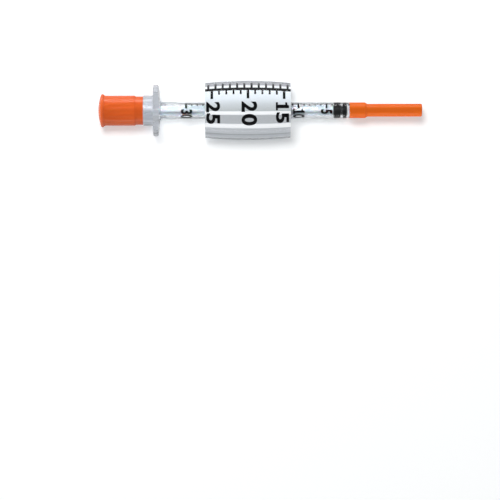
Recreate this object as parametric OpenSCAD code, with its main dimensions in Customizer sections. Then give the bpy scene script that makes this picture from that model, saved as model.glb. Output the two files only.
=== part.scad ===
// Insulin syringe with a fixed needle, capped at both ends, and a clip-on magnifier for its scale.
// The syringe lies along X with the needle towards +X, and the scale faces +Z.
// The magnifier's flat base and the flange's lower flat stand on the plane Z = 0.
// Each module is drawn around the syringe's axis, with the flange's rear face at x = 0.

/* [Barrel] */
// Outer diameter of the barrel tube
barrel_d = 4.28; // [4.1:0.02:4.5]
// Bore that the stopper runs in
bore_d = 2.91; // [2.8:0.01:3.1]
// Distance between two unit marks
unit_pitch = 1.5; // [1.4:0.02:1.7]
// Unprinted length from the flange to the highest mark
blank_len = 6.87; // [6.4:0.01:9]
// Wall added to the tube where it leaves the flange
root_wall = 0.17; // [0.05:0.01:0.3]
// Length of that thicker root
root_len = 3.9; // [2:0.1:5]
// Length over which the root runs down to the tube
root_taper = 0.7; // [0.3:0.1:1.2]
// Wall at the needle end of the bore
end_wall = 0.8; // [0.5:0.05:1.2]
// Depth of the step down to the seat that holds the needle shield
seat_step = 0.29; // [0.2:0.01:0.35]
// Length of that seat
seat_len = 2.1; // [1.4:0.1:3]
// Diameter of the nose that holds the needle
nose_d = 2.3; // [1.8:0.05:2.4]
// Length of the nose
nose_len = 4.5; // [3:0.1:5.5]
// Height of the ridge that keeps the stopper in the bore
ridge_h = 0.07; // [0.05:0.01:0.09]
// Length of that ridge
ridge_len = 0.6; // [0.4:0.05:0.8]
// Distance from the flange's rear face to the ridge
ridge_back = 2; // [1:0.1:2.4]

/* [Flange and collar] */
// Width of the finger flange across its round ends
flange_d = 13.9; // [12:0.1:16]
// How far the flange's flats stand out past the plunger cap's rim
flat_lift = 0.275; // [0.1:0.025:0.8]
// Thickness of the flange at its edge
flange_t = 1.45; // [1:0.05:2]
// Extra thickness of the flange near the tube
hub_rise = 0.48; // [0.2:0.02:0.8]
// Rounding of the flange's edge
flange_round = 0.4; // [0.1:0.05:0.45]
// Outer diameter of the spigot that the plunger cap sits on
spigot_d = 6.9; // [6.4:0.05:7.4]
// Wall of the spigot
spigot_wall = 0.65; // [0.4:0.05:0.9]
// Length of the spigot behind the collar
spigot_len = 3; // [2:0.1:4]
// Outer wall of the clear collar, around the groove for the cap's lip
collar_wall = 0.25; // [0.2:0.05:0.5]
// Solid length of the collar, in front of that groove
collar_floor = 0.57; // [0.3:0.01:1]

/* [Plunger] */
// Distance from the stopper's front to the zero mark, as stored
draw = 2; // [0.5:0.1:3]
// Thickness of a rib
rib_t = 0.62; // [0.5:0.02:0.9]
// Thickness of the disc at the rod's front end
rod_disc_t = 0.5; // [0.3:0.05:0.8]
// Diameter of the stem that holds the stopper
stem_d = 1.2; // [1:0.05:1.4]
// Length of the stem up to its head
stem_len = 1.1; // [0.8:0.05:1.4]
// Diameter of the stem's head
stem_head_d = 1.8; // [1.5:0.05:1.9]
// Thickness of the stem's head
stem_head_t = 0.6; // [0.4:0.05:0.8]
// Thickness of the thumb rest
thumb_t = 1.2; // [0.8:0.05:1.6]
// Depth of the dish in the thumb rest
thumb_dish = 0.35; // [0.2:0.05:0.5]
// Width of the rim around that dish
thumb_rim = 0.7; // [0.5:0.05:1]
// Gap between the thumb rest and the end of the spigot when the stopper is at zero
thumb_gap = 0.1; // [0.05:0.05:0.5]

/* [Stopper] */
// Length of the rear sealing rib
rear_rib_len = 1.75; // [1.4:0.05:2]
// Length of the groove between the ribs
groove_len = 1; // [0.6:0.05:1.2]
// Length of the front sealing rib
front_rib_len = 0.95; // [0.8:0.05:1.2]
// Depth of that groove
groove_depth = 0.19; // [0.1:0.01:0.25]
// Rounding of the ribs' edges
stopper_round = 0.15; // [0.05:0.05:0.2]

/* [Plunger cap] */
// Wall of the cap
cap_wall = 0.515; // [0.4:0.005:0.7]
// Wall of the lip at its mouth
lip_wall = 0.3; // [0.2:0.05:0.35]
// Length of the lip that stays outside the collar when the stopper is at zero
lip_spare = 0.1; // [0.05:0.05:0.3]
// Free room in the cap behind the thumb rest
cap_room = 4.39; // [4.2:0.01:6]
// How far the rounded rim at the closed end stands out
rim_out = 0.46; // [0.3:0.02:0.6]
// Rounding radius of that rim
rim_round = 0.42; // [0.3:0.02:0.5]
// Height of the domed end
dome_h = 0.85; // [0.5:0.05:1]
// Thickness of the closed end, under the dome
cap_end_t = 0.5; // [0.4:0.05:0.9]

/* [Needle and shield] */
// Outer diameter of the needle
needle_d = 0.26; // [0.22:0.01:0.34]
// Diameter of the needle's bore
lumen_d = 0.13; // [0.1:0.01:0.15]
// Length of needle in front of the nose
needle_out = 8; // [6:0.5:9]
// Angle of the needle's bevel to its axis
bevel_angle = 13; // [10:1:20]
// Diameter of the adhesive bead in the nose
bond_d = 1.1; // [0.8:0.05:1.3]
// Depth of that bead in the nose
bond_depth = 1; // [0.6:0.05:1.4]
// Wall of the shield's base
base_wall = 0.28; // [0.22:0.02:0.4]
// Length of the base
base_len = 4.08; // [3.6:0.05:5]
// Length of the step from the base to the shaft
step_len = 0.55; // [0.3:0.05:0.9]
// Wall of the shield's shaft
shaft_wall = 0.49; // [0.35:0.01:0.6]
// Depth of the flats on the base and the shaft
flat_depth = 0.075; // [0.03:0.005:0.12]
// Radial room around the nose
nose_gap = 0.15; // [0.08:0.01:0.2]
// Free length in front of the needle's tip
tip_room = 3.4; // [1:0.1:5]
// Thickness of the shield's closed end
shield_tip = 1.4; // [0.8:0.1:3]
// Rounding of the shield's closed end
shield_round = 0.45; // [0.2:0.05:0.6]

/* [Magnifier] */
// Length of the magnifier
lens_len = 22.83; // [21.8:0.1:26]
// Diameter of the lens at its ends
lens_end_d = 14.86; // [14:0.1:17]
// How much further the lens bulges at its middle
lens_crown = 0.56; // [0.2:0.02:1]
// Wall of the lens
lens_wall = 0.45; // [0.3:0.05:0.8]
// Distance from the flange's front to the magnifier
lens_back = 11.97; // [8:0.1:16]
// Distance from the axis down to the joint between the lens and its clip
split_drop = 1.2; // [0.6:0.1:2]
// Thickness of the film that carries the enlarged scale
film_t = 0.2; // [0.1:0.05:0.3]
// Wall of the clip's sides
clip_side = 1.1; // [1:0.05:1.6]
// Thickness of the clip's base
clip_base = 1.1; // [0.8:0.1:1.5]
// Thickness of the clip's two end walls
clip_end = 1; // [0.6:0.1:1.5]
// Wall of the channel that grips the barrel
channel_wall = 0.8; // [0.6:0.05:1]
// Width of the slot that the barrel snaps through
slot_w = 3.6; // [3.2:0.1:3.9]
// Chamfer at the mouth of that slot
slot_lead = 0.5; // [0.2:0.1:0.8]
// Distance from the magnifier's ends to the outermost marks of the enlarged scale
scale_margin = 0.855; // [0.7:0.005:1.2]
// Distance from the magnifier's middle to its mark for 20 units
large_shift = 0.03; // [-0.2:0.01:0.2]

/* [Print] */
// Thickness of the printed ink
ink_t = 0.02; // [0.01:0.01:0.03]
// Width of a mark on the barrel
mark_w = 0.3; // [0.2:0.02:0.4]
// Width of a five-unit mark on the barrel
five_mark_w = 0.4; // [0.3:0.02:0.5]
// Height of the numerals on the barrel
numeral_h = 2.9; // [2.4:0.1:3.2]
// Width of a digit on the barrel
numeral_w = 1.1; // [0.9:0.05:1.25]
// Stroke of the numerals on the barrel
stroke = 0.3; // [0.2:0.02:0.34]
// Width of a mark on the film
large_mark_w = 0.4; // [0.3:0.02:0.5]
// Width of a five-unit mark on the film
large_five_w = 0.53; // [0.4:0.02:0.7]
// Height of the numerals on the film
large_numeral_h = 3.45; // [3:0.1:3.6]
// Width of a digit on the film
large_numeral_w = 2.9; // [2.6:0.1:3.1]
// Stroke of the numerals on the film
large_stroke = 0.72; // [0.5:0.02:0.8]

/* [Fits] */
// Radial clearance of the parts that slide on each other
run_gap = 0.05; // [0.03:0.01:0.06]
// Radial clearance of the stopper in the bore
seal_gap = 0.02; // [0.01:0.01:0.03]
// Clearance between parts that are joined for good
joint_gap = 0.02; // [0.01:0.01:0.04]

/* [Hidden] */
$fn = 64;

// Counts on the scales
units = 30;
five = 5;
large_from = 15;
large_mid = 20;
large_to = 25;

// Steps of the curved profiles
crown_steps = 12;
arc_steps = 6;

// Flats around the needle shield
shield_sides = 8;

// Half of a bore, shaft or width
barrel_r = barrel_d / 2;
bore_r = bore_d / 2;
lens_end_r = lens_end_d / 2;
seat_r = barrel_r - seat_step;
spigot_r = spigot_d / 2;
cap_bore_r = spigot_r + run_gap;
cap_r = cap_bore_r + cap_wall;
lip_r = cap_bore_r + lip_wall;
collar_r = lip_r + run_gap + collar_wall;
rim_r = cap_r + rim_out;
rod_r = bore_r - ridge_h - run_gap;
base_r = seat_r + run_gap + base_wall;
shaft_bore_r = nose_d / 2 + nose_gap;
shaft_r = shaft_bore_r + shaft_wall;

// Height of the axis, at which the flange's flat reaches the table
axis_h = rim_r + flat_lift;

// Stations along the axis, from the flange's rear face
hub_x = flange_t + hub_rise;
top_mark_x = hub_x + blank_len;
zero_x = top_mark_x + units * unit_pitch;
front_x = zero_x + end_wall;
nose_x = front_x + nose_len;
needle_x = nose_x + needle_out;
shield_x = front_x - seat_len;
shield_end_x = needle_x + tip_room + shield_tip;
lip_len = draw + lip_spare;
groove_end_x = -collar_floor;
rim_x = groove_end_x - lip_len;
spigot_x = rim_x - spigot_len;
stopper_len = rear_rib_len + groove_len + front_rib_len;
stopper_front_x = zero_x - draw;
stopper_x = stopper_front_x - stopper_len;
thumb_x = spigot_x - draw - thumb_gap;
cap_floor_x = thumb_x - thumb_t - cap_room;
cap_end_x = cap_floor_x - cap_end_t - dome_h;
lens_x = hub_x + lens_back;
lens_end_x = lens_x + lens_len;
lens_mid_x = lens_x + lens_len / 2;
large_20_x = lens_mid_x + large_shift;
large_pitch = (lens_len - 2 * scale_margin) / (large_to - large_from + 1);

// The model's middle, and its length, which reaches past everything for cuts
mid_x = (cap_end_x + shield_end_x) / 2;
far = shield_end_x - cap_end_x;
// Overrun of every cut past the face that it leaves
over = 0.05;

// Radii of the magnifier's layers
ink_inset = lens_wall + joint_gap;
film_inset = ink_inset + ink_t;
film_in_inset = film_inset + film_t;
channel_r = barrel_r + ink_t + run_gap;
channel_out_r = channel_r + channel_wall;

// Places of the print around the barrel and the film, as angles from +Z towards +Y
baseline_angle = 53;
baseline_spread = 5;
half_mark_angle = 76;
unit_mark_angle = 33;
five_mark_angle = 15;
numeral_angle = -7;
numeral_pitch = 35;
large_baseline_angle = 51.6;
large_baseline_spread = 3.4;
large_half_angle = 79;
large_unit_angle = 35.5;
large_five_angle = 25.3;
large_numeral_angle = 7.5;
large_numeral_pitch = 25.6;

clear_color = [0.82, 0.87, 0.92, 0.4];
orange_color = [0.92, 0.4, 0.16];
ink_color = [0.07, 0.07, 0.08];

// Basic forms

// Moves a piece from the syringe's own axis to its place above the table
module place() {
    translate([-mid_x, 0, axis_h]) children();
}

// Turns a profile of [x, radius] points around the axis
module lathe(points) {
    rotate([0, 90, 0]) rotate_extrude() polygon([for (p = points) [p[1], p[0]]]);
}

// Round bar or bore from x0 to x1
module rod(r, x0, x1) {
    translate([x0, 0, 0]) rotate([0, 90, 0]) cylinder(r = r, h = x1 - x0);
}

// Bar with flat sides at a distance from the axis, one of them on top
module flat_sided(distance, x0, x1) {
    half_side = 180 / shield_sides;
    translate([x0, 0, 0]) rotate([0, 90, 0]) rotate([0, 0, half_side])
        cylinder(r = distance / cos(half_side), h = x1 - x0, $fn = shield_sides);
}

// All space above a level, and all space below it
module above(z) {
    translate([-far, -far, z]) cube([3 * far, 2 * far, far]);
}
module below(z) {
    translate([-far, -far, z - far]) cube([3 * far, 2 * far, far]);
}

// Points of an arc around [x, r], from one angle to another
function arc(x, r, radius, from, to) =
    [for (i = [0:arc_steps]) let (a = from + (to - from) * i / arc_steps)
        [x + radius * cos(a), r + radius * sin(a)]];

// Part of a ring between two stations, two radii and two angles
module sector(x0, x1, r0, r1, a0, a1) {
    rotate([0, 90, 0]) rotate([0, 0, 180 - a1]) rotate_extrude(angle = a1 - a0)
        translate([r0, x0]) square([r1 - r0, x1 - x0]);
}

// Outline of one digit, width by height, with strokes of one width
module digit_outline(n, width, height, line) {
    inner = width - line;
    upper = height - line;
    mid_low = (height - line) / 2;
    mid_high = (height + line) / 2;
    flag = 2 * line;
    if (n == 0)
        difference() {
            square([width, height]);
            translate([line, line]) square([width - 2 * line, height - 2 * line]);
        }
    if (n == 1)
        polygon([
            [mid_of(width, line), 0], [mid_of(width, -line), 0], [mid_of(width, -line), height],
            [mid_of(width, line), height], [0, height - line], [0, height - flag],
            [mid_of(width, line), height - line]
        ]);
    if (n == 2)
        polygon([
            [0, 0], [width, 0], [width, line], [line, line], [line, mid_low], [width, mid_low],
            [width, height], [0, height], [0, upper], [inner, upper], [inner, mid_high], [0, mid_high]
        ]);
    if (n == 3)
        polygon([
            [0, 0], [width, 0], [width, height], [0, height], [0, upper], [inner, upper],
            [inner, mid_high], [0, mid_high], [0, mid_low], [inner, mid_low], [inner, line], [0, line]
        ]);
    if (n == 5)
        polygon([
            [0, 0], [width, 0], [width, mid_high], [line, mid_high], [line, upper], [width, upper],
            [width, height], [0, height], [0, mid_low], [inner, mid_low], [inner, line], [0, line]
        ]);
}

// Side of a stroke that stands in the middle of a width
function mid_of(width, line) = (width - line) / 2;

// One digit as a block from the axis outwards, standing along +X and read from +Y to -Y
module digit(n, x, angle, width, height, line, reach) {
    translate([x, 0, 0]) rotate([-angle, 0, 0]) rotate([0, 0, -90])
        translate([-width / 2, -height / 2, 0]) linear_extrude(reach)
            digit_outline(n, width, height, line);
}

// A number of one or two digits around station x, its first digit centred on an angle
// It is cut from the layer of ink that is given to it
module number(value, x, angle, pitch, width, height, line, reach) {
    digits = value < 10 ? [value] : [floor(value / 10), value % 10];
    for (i = [0:len(digits) - 1])
        intersection() {
            children();
            digit(digits[i], x, angle - i * pitch, width, height, line, reach);
        }
}

// Barrel

// Profile of the flange's edge: rounded, and thicker towards the tube
module flange() {
    r = flange_d / 2;
    intersection() {
        lathe(concat(
            [[0, 0]],
            arc(flange_round, r - flange_round, flange_round, 180, 90),
            arc(flange_t - flange_round, r - flange_round, flange_round, 90, 0),
            [[hub_x, barrel_r + root_wall], [hub_x, 0]]
        ));
        translate([-far, -far, -axis_h]) cube([2 * far, 2 * far, 2 * axis_h]);
    }
}

// Tube with its thicker root, its seat for the shield and its nose
module tube() {
    root_r = barrel_r + root_wall;
    root_end_x = hub_x + root_len;
    lathe([
        [hub_x - flange_t, 0], [hub_x - flange_t, root_r], [root_end_x, root_r],
        [root_end_x + root_taper, barrel_r], [shield_x, barrel_r], [shield_x, seat_r],
        [front_x, seat_r], [front_x, nose_d / 2], [nose_x, nose_d / 2], [nose_x, 0]
    ]);
}

// Collar with the groove for the cap's lip, around the spigot that the cap sits on
module collar() {
    difference() {
        union() {
            rod(collar_r, rim_x, over);
            rod(spigot_r, spigot_x, over);
        }
        difference() {
            rod(lip_r + run_gap, rim_x - over, groove_end_x);
            rod(spigot_r, rim_x - 2 * over, groove_end_x + over);
        }
    }
}

// Bore with the retaining ridge near its rear end
module bore() {
    lathe([
        [-over, 0], [-over, bore_r], [ridge_back, bore_r], [ridge_back + ridge_len / 2, bore_r - ridge_h],
        [ridge_back + ridge_len, bore_r], [zero_x, bore_r], [zero_x, 0]
    ]);
}

module barrel() {
    color(clear_color) place() difference() {
        union() {
            flange();
            tube();
            collar();
        }
        bore();
        rod(spigot_r - spigot_wall, spigot_x - over, 0);
        rod(needle_d / 2 + joint_gap, zero_x - over, nose_x);
        rod(bond_d / 2 + joint_gap, nose_x - bond_depth, nose_x + over);
    }
}

// Needle

module needle_cannula() {
    color("silver") place() difference() {
        rod(needle_d / 2, zero_x, needle_x);
        rod(lumen_d / 2, zero_x - over, needle_x + over);
        translate([needle_x, 0, -needle_d / 2]) rotate([0, bevel_angle - 90, 0])
            translate([0, -needle_d, 0]) cube([needle_out, 2 * needle_d, 2 * needle_out]);
    }
}

// Bead of adhesive, domed where it meets the open air
module needle_bond() {
    r = bond_d / 2;
    color([0.9, 0.88, 0.7, 0.6]) place() difference() {
        union() {
            rod(r, nose_x - bond_depth + joint_gap, nose_x);
            intersection() {
                translate([nose_x, 0, 0]) sphere(r = r);
                rod(r, nose_x, nose_x + r);
            }
        }
        rod(needle_d / 2, nose_x - bond_depth - over, nose_x + r + over);
    }
}

// Shield: round with shallow flats, a base that is wider than the shaft, and a rounded end
module needle_shield() {
    base_end_x = shield_x + base_len;
    color(orange_color) place() difference() {
        union() {
            intersection() {
                lathe([
                    [shield_x, 0], [shield_x, base_r], [base_end_x, base_r],
                    [base_end_x + step_len, shaft_r], [base_end_x + step_len, 0]
                ]);
                flat_sided(base_r - flat_depth, shield_x, base_end_x + step_len);
            }
            intersection() {
                lathe(concat(
                    [[base_end_x, 0], [base_end_x, shaft_r]],
                    arc(shield_end_x - shield_round, shaft_r - shield_round, shield_round, 90, 0),
                    [[shield_end_x, 0]]
                ));
                flat_sided(shaft_r - flat_depth, base_end_x, shield_end_x);
            }
        }
        rod(seat_r + run_gap, shield_x - over, front_x + joint_gap);
        rod(shaft_bore_r, shield_x, needle_x + tip_room);
    }
}

// Plunger

module plunger_rod() {
    thumb_r = cap_bore_r - run_gap;
    disc_x = stopper_x - joint_gap - rod_disc_t;
    head_x = stopper_x - joint_gap + stem_len;
    rib_len = disc_x - thumb_x + 2 * over;
    color([0.93, 0.94, 0.95]) place() {
        // Four ribs
        intersection() {
            rod(rod_r, thumb_x - over, disc_x + over);
            union() {
                translate([thumb_x - over, -rib_t / 2, -bore_d]) cube([rib_len, rib_t, 2 * bore_d]);
                translate([thumb_x - over, -bore_d, -rib_t / 2]) cube([rib_len, 2 * bore_d, rib_t]);
            }
        }
        // Front disc, and the stem with its head in the stopper
        rod(rod_r, disc_x, disc_x + rod_disc_t);
        rod(stem_d / 2, disc_x, head_x + over);
        rod(stem_head_d / 2, head_x, head_x + stem_head_t);
        // Dished thumb rest
        difference() {
            rod(thumb_r, thumb_x - thumb_t, thumb_x);
            rod(thumb_r - thumb_rim, thumb_x - thumb_t - over, thumb_x - thumb_t + thumb_dish);
        }
    }
}

// Stopper: two sealing ribs with rounded edges and a groove between them
module plunger_stopper() {
    r = bore_r - seal_gap;
    groove_x = stopper_x + rear_rib_len;
    front_rib_x = groove_x + groove_len;
    q = stopper_round;
    head_x = stopper_x - joint_gap + stem_len;
    color([0.09, 0.09, 0.1]) place() difference() {
        lathe(concat(
            [[stopper_x, 0]],
            arc(stopper_x + q, r - q, q, 180, 90),
            arc(groove_x - q, r - q, q, 90, 0),
            [[groove_x, r - groove_depth], [front_rib_x, r - groove_depth]],
            arc(front_rib_x + q, r - q, q, 180, 90),
            arc(stopper_front_x - q, r - q, q, 90, 0),
            [[stopper_front_x, 0]]
        ));
        rod(stem_d / 2 + joint_gap, stopper_x - over, head_x);
        rod(stem_head_d / 2 + joint_gap, head_x - joint_gap, head_x + stem_head_t + joint_gap);
    }
}

// Plunger cap

// Outline from the middle of the domed end to the mouth
function cap_outline() =
    let (
        bead_r = rim_r - rim_round,
        bead_x = cap_end_x + dome_h + rim_round / 2,
        dome_r = (bead_r * bead_r + dome_h * dome_h) / (2 * dome_h),
        dome_a = asin(bead_r / dome_r)
    )
    concat(
        arc(cap_end_x + dome_r, 0, dome_r, 180, 180 - dome_a),
        arc(bead_x, bead_r, rim_round, 150, 0),
        [
            [bead_x + rim_round, cap_r], [rim_x - lip_len, cap_r],
            [rim_x - lip_len, lip_r], [rim_x, lip_r], [rim_x, 0]
        ]
    );

module plunger_cap() {
    color(orange_color) place() difference() {
        lathe(cap_outline());
        rod(cap_bore_r, cap_floor_x, rim_x + over);
    }
}

// Magnifier

// Radius of the barrel-shaped surface at x, less an inset
function crown_r(x, inset) =
    lens_end_r + lens_crown * (1 - pow(2 * (x - lens_mid_x) / lens_len, 2)) - inset;

function crown_line(inset) =
    [for (i = [0:crown_steps]) let (x = lens_x + lens_len * i / crown_steps) [x, crown_r(x, inset)]];

function backwards(points) = [for (i = [len(points) - 1:-1:0]) points[i]];

// Shell between two insets of that surface, and all that lies inside one inset
module crown_shell(outer, inner) {
    lathe(concat(crown_line(outer), backwards(crown_line(inner))));
}
module crown_solid(inset) {
    lathe(concat([[lens_x, 0]], crown_line(inset), [[lens_end_x, 0]]));
}

module magnifier_lens() {
    color(clear_color) place() intersection() {
        crown_shell(0, lens_wall);
        above(-split_drop);
    }
}

module enlarged_scale_film() {
    color([0.93, 0.95, 0.97]) place() intersection() {
        crown_shell(film_inset, film_in_inset);
        above(joint_gap - split_drop);
    }
}

// Tray of base and side walls up to the joint with the lens
module clip_tray() {
    difference() {
        intersection() {
            crown_solid(0);
            below(-split_drop);
        }
        difference() {
            crown_solid(clip_side);
            below(clip_base - axis_h);
        }
        below(-axis_h);
    }
}

// End walls, on whose round tops the film lies
module clip_ends() {
    intersection() {
        crown_solid(film_in_inset + joint_gap);
        above(-axis_h);
        union() {
            rod(far, lens_x, lens_x + clip_end);
            rod(far, lens_end_x - clip_end, lens_end_x);
        }
    }
}

// Channel around the barrel and the two webs that carry it
module channel_outside() {
    rod(channel_out_r, lens_x, lens_end_x);
    translate([lens_x, -slot_w / 2 - channel_wall, -axis_h])
        cube([lens_len, slot_w + 2 * channel_wall, axis_h]);
}

module channel_inside() {
    rod(channel_r, lens_x - over, lens_end_x + over);
    translate([lens_x - over, -slot_w / 2, -axis_h - over])
        cube([lens_len + 2 * over, slot_w, axis_h + over]);
    // Chamfered mouth of the slot
    translate([lens_x - over, 0, -axis_h]) rotate([90, 0, 90]) linear_extrude(lens_len + 2 * over)
        polygon([
            [-slot_w / 2 - slot_lead - over, -over], [slot_w / 2 + slot_lead + over, -over],
            [slot_w / 2 - over, slot_lead + over], [-slot_w / 2 + over, slot_lead + over]
        ]);
}

module magnifier_clip() {
    color(clear_color) place() difference() {
        union() {
            clip_tray();
            clip_ends();
            channel_outside();
        }
        channel_inside();
    }
}

// Layer of ink on the film, and blocks cut to it
module film_layer() {
    crown_shell(ink_inset, film_inset);
}
module film_ink() {
    color(ink_color) place() intersection() {
        film_layer();
        children();
    }
}

film_low_r = lens_end_r - film_inset - film_t;
film_high_r = lens_end_r + lens_crown;

// Marks on the film at every step between two values
module film_marks(from, to, step, width, a0, a1, skip) {
    for (v = [from:step:to])
        if (skip == 0 || v % skip != 0)
            sector(
                large_20_x - (v - large_mid) * large_pitch - width / 2,
                large_20_x - (v - large_mid) * large_pitch + width / 2,
                film_low_r, film_high_r, a0, a1
            );
}

module enlarged_baseline() {
    film_ink() sector(
        lens_x, lens_end_x, film_low_r, film_high_r,
        large_baseline_angle - large_baseline_spread, large_baseline_angle + large_baseline_spread
    );
}

module enlarged_unit_marks() {
    film_ink() film_marks(
        large_from, large_to, 1, large_mark_w,
        large_unit_angle, large_baseline_angle - large_baseline_spread, five
    );
}

module enlarged_half_unit_marks() {
    film_ink() film_marks(
        large_from - 1 / 2, large_to + 1 / 2, 1, large_mark_w,
        large_baseline_angle + large_baseline_spread, large_half_angle, 0
    );
}

module enlarged_five_unit_marks() {
    film_ink() film_marks(
        large_from, large_to, five, large_five_w,
        large_five_angle, large_baseline_angle - large_baseline_spread, 0
    );
}

module enlarged_numeral(value) {
    color(ink_color) place() number(
        value, large_20_x - (value - large_mid) * large_pitch, large_numeral_angle, large_numeral_pitch,
        large_numeral_w, large_numeral_h, large_stroke, film_high_r
    ) film_layer();
}

// Print on the barrel

module barrel_ink() {
    color(ink_color) place() children();
}

// Marks on the barrel at every step between two values
module barrel_marks(from, to, step, width, a0, a1, skip) {
    for (v = [from:step:to])
        if (skip == 0 || v % skip != 0)
            sector(
                zero_x - v * unit_pitch - width / 2, zero_x - v * unit_pitch + width / 2,
                barrel_r, barrel_r + ink_t, a0, a1
            );
}

module scale_baseline() {
    barrel_ink() sector(
        top_mark_x - five_mark_w / 2, shield_x - mark_w, barrel_r, barrel_r + ink_t,
        baseline_angle - baseline_spread, baseline_angle + baseline_spread
    );
}

module unit_marks() {
    barrel_ink() barrel_marks(
        1, units, 1, mark_w, unit_mark_angle, baseline_angle - baseline_spread, five
    );
}

module half_unit_marks() {
    barrel_ink() barrel_marks(
        1 + 1 / 2, units - 1 / 2, 1, mark_w, baseline_angle + baseline_spread, half_mark_angle, 0
    );
}

// The mark for zero is on the seat, under the needle shield
module five_unit_marks() {
    barrel_ink() {
        barrel_marks(
            five, units, five, five_mark_w, five_mark_angle, baseline_angle - baseline_spread, 0
        );
        sector(
            zero_x - five_mark_w / 2, zero_x + five_mark_w / 2, seat_r, seat_r + ink_t,
            five_mark_angle, baseline_angle + baseline_spread
        );
    }
}

// Layer of ink on the barrel
module barrel_layer() {
    difference() {
        rod(barrel_r + ink_t, hub_x, shield_x);
        rod(barrel_r, hub_x - over, shield_x + over);
    }
}

module numeral(value) {
    barrel_ink() number(
        value, zero_x - value * unit_pitch, numeral_angle, numeral_pitch,
        numeral_w, numeral_h, stroke, barrel_d
    ) barrel_layer();
}

barrel();
needle_cannula();
needle_bond();
needle_shield();
plunger_rod();
plunger_stopper();
plunger_cap();
magnifier_lens();
magnifier_clip();
enlarged_scale_film();
enlarged_baseline();
enlarged_unit_marks();
enlarged_half_unit_marks();
enlarged_five_unit_marks();
enlarged_numeral(15);  // enlarged_numeral_15
enlarged_numeral(20);  // enlarged_numeral_20
enlarged_numeral(25);  // enlarged_numeral_25
scale_baseline();
unit_marks();
half_unit_marks();
five_unit_marks();
numeral(5);  // numeral_05
numeral(10);  // numeral_10
numeral(15);  // numeral_15
numeral(20);  // numeral_20
numeral(25);  // numeral_25
numeral(30);  // numeral_30
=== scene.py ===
"""Looks of the insulin syringe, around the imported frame: mouldings, clear plastic, print, light and camera."""

import math

import bmesh
import bpy
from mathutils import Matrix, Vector


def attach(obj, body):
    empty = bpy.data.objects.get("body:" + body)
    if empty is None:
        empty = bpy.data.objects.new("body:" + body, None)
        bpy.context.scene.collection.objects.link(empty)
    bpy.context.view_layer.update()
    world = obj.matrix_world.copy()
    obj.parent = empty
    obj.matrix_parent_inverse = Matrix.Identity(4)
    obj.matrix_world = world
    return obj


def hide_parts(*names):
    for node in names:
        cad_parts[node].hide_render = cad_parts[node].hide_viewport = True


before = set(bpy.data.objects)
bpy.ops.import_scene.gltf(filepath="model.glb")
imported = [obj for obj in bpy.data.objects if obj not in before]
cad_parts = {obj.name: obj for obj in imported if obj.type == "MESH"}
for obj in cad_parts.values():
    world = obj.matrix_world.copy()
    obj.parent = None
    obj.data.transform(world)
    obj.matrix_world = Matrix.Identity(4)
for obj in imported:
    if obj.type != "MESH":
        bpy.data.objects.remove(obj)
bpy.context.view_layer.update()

bpy.context.scene.view_settings.view_transform = "Standard"

MM = 0.001
TURN = 2 * math.pi

# Vertices nearer than this to each other are one, in a turned piece and in a copy of a CAD node
WELD, COPY_WELD = 0.001 * MM, 0.0005 * MM
# A cut takes vertices this near as lying on its plane
ON_PLANE = 1e-7
# Steps around the barrel and the magnifier, and around the stopper
STEPS_AROUND, STOPPER_STEPS = 128, 96
# Steps of a rounded corner, in an outline and on a copy of a CAD node
CORNER_STEPS, EDGE_STEPS = 5, 3
# Faces that meet at less than this are smoothed, in a turned piece, a copy and the needle shield, in degrees
SMOOTH, COPY_SMOOTH, SHIELD_SMOOTH = 30, 32, 11

# The syringe's axis lies along X at this height, and its stations are counted from the flange's rear face
AXIS_H = 4.75
FLANGE_X = -28.595

# Stations along the axis, in mm from the flange's rear face
CAP_END_X, CAP_FLOOR_X, RIM_X = -14.71, -13.36, -2.67
LIP_LEN = 2.1
SPIGOT_X, GROOVE_END_X = -5.67, -0.57
FLANGE_T, HUB_X = 1.45, 1.93
ROOT_END_X, TUBE_X = 5.83, 6.53
STOPPER_X, STOPPER_LEN = 48.1, 3.7
SHIELD_X, ZERO_X, FRONT_X, NOSE_X = 52.5, 53.8, 54.6, 59.1
LENS_X, LENS_LEN = 13.9, 22.83
LENS_MID_X = LENS_X + LENS_LEN / 2
# Ring in the bore that keeps the stopper in: its middle, half its length and its height
STOP_X, STOP_HALF, STOP_H = 2.3, 0.3, 0.07

# Radii in mm
BARREL_R, BORE_R, ROOT_R, SEAT_R, NOSE_R = 2.14, 1.455, 2.31, 1.85, 1.15
SPIGOT_R, CUP_R, COLLAR_IN_R, COLLAR_R = 3.45, 2.8, 3.85, 4.1
CAP_BORE_R, LIP_R, CAP_R, RIM_R = 3.5, 3.8, 4.015, 4.475
FLANGE_R = 6.95
STOPPER_R = 1.457
LENS_END_R, LENS_CROWN, LENS_WALL = 7.43, 0.56, 0.45
# Well for the adhesive in the nose, and the canal that the needle stands in
WELL_R, WELL_DEPTH, CANAL_R = 0.57, 1, 0.15

# The plunger cap's domed end, as (distance from its end, radius), its bead and its grip ribs
DOME = [(0.16, 2.2), (0.55, 3.6)]
BEAD, BEAD_END, BEAD_FOOT = 0.85, 1.3, 1.75
GRIP_X, GRIP_END_X, GRIP_RIBS = -12.0, -5.0, 16
GRIP_DEPTH, GRIP_EDGE, STEPS_PER_RIB = 0.05, 0.09, 8

# The stopper, from its rear face: the gap between its ribs, and the hole for the stem's head
GAP, GAP_END, GAP_DEPTH = 1.95, 2.5, 0.1
STEM_R, STEM_HEAD_R, STEM_HEAD, STEM_END = 0.62, 0.92, 1.06, 1.7

# Mould radii of the copies of CAD nodes, and of the lens's outer ends
SHIELD_EDGE, ROD_EDGE, CLIP_EDGE, LENS_EDGE = 0.05, 0.06, 0.12, 0.15

# The film lies in the lens at an inset, and both end below the axis, the film a little earlier
FILM_INSET, FILM_T, INK_T = 0.49, 0.2, 0.02
SPLIT_Z, FILM_RISE = -1.2, 0.02

UNIT, LARGE_UNIT = 1.5, 1.92
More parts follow.
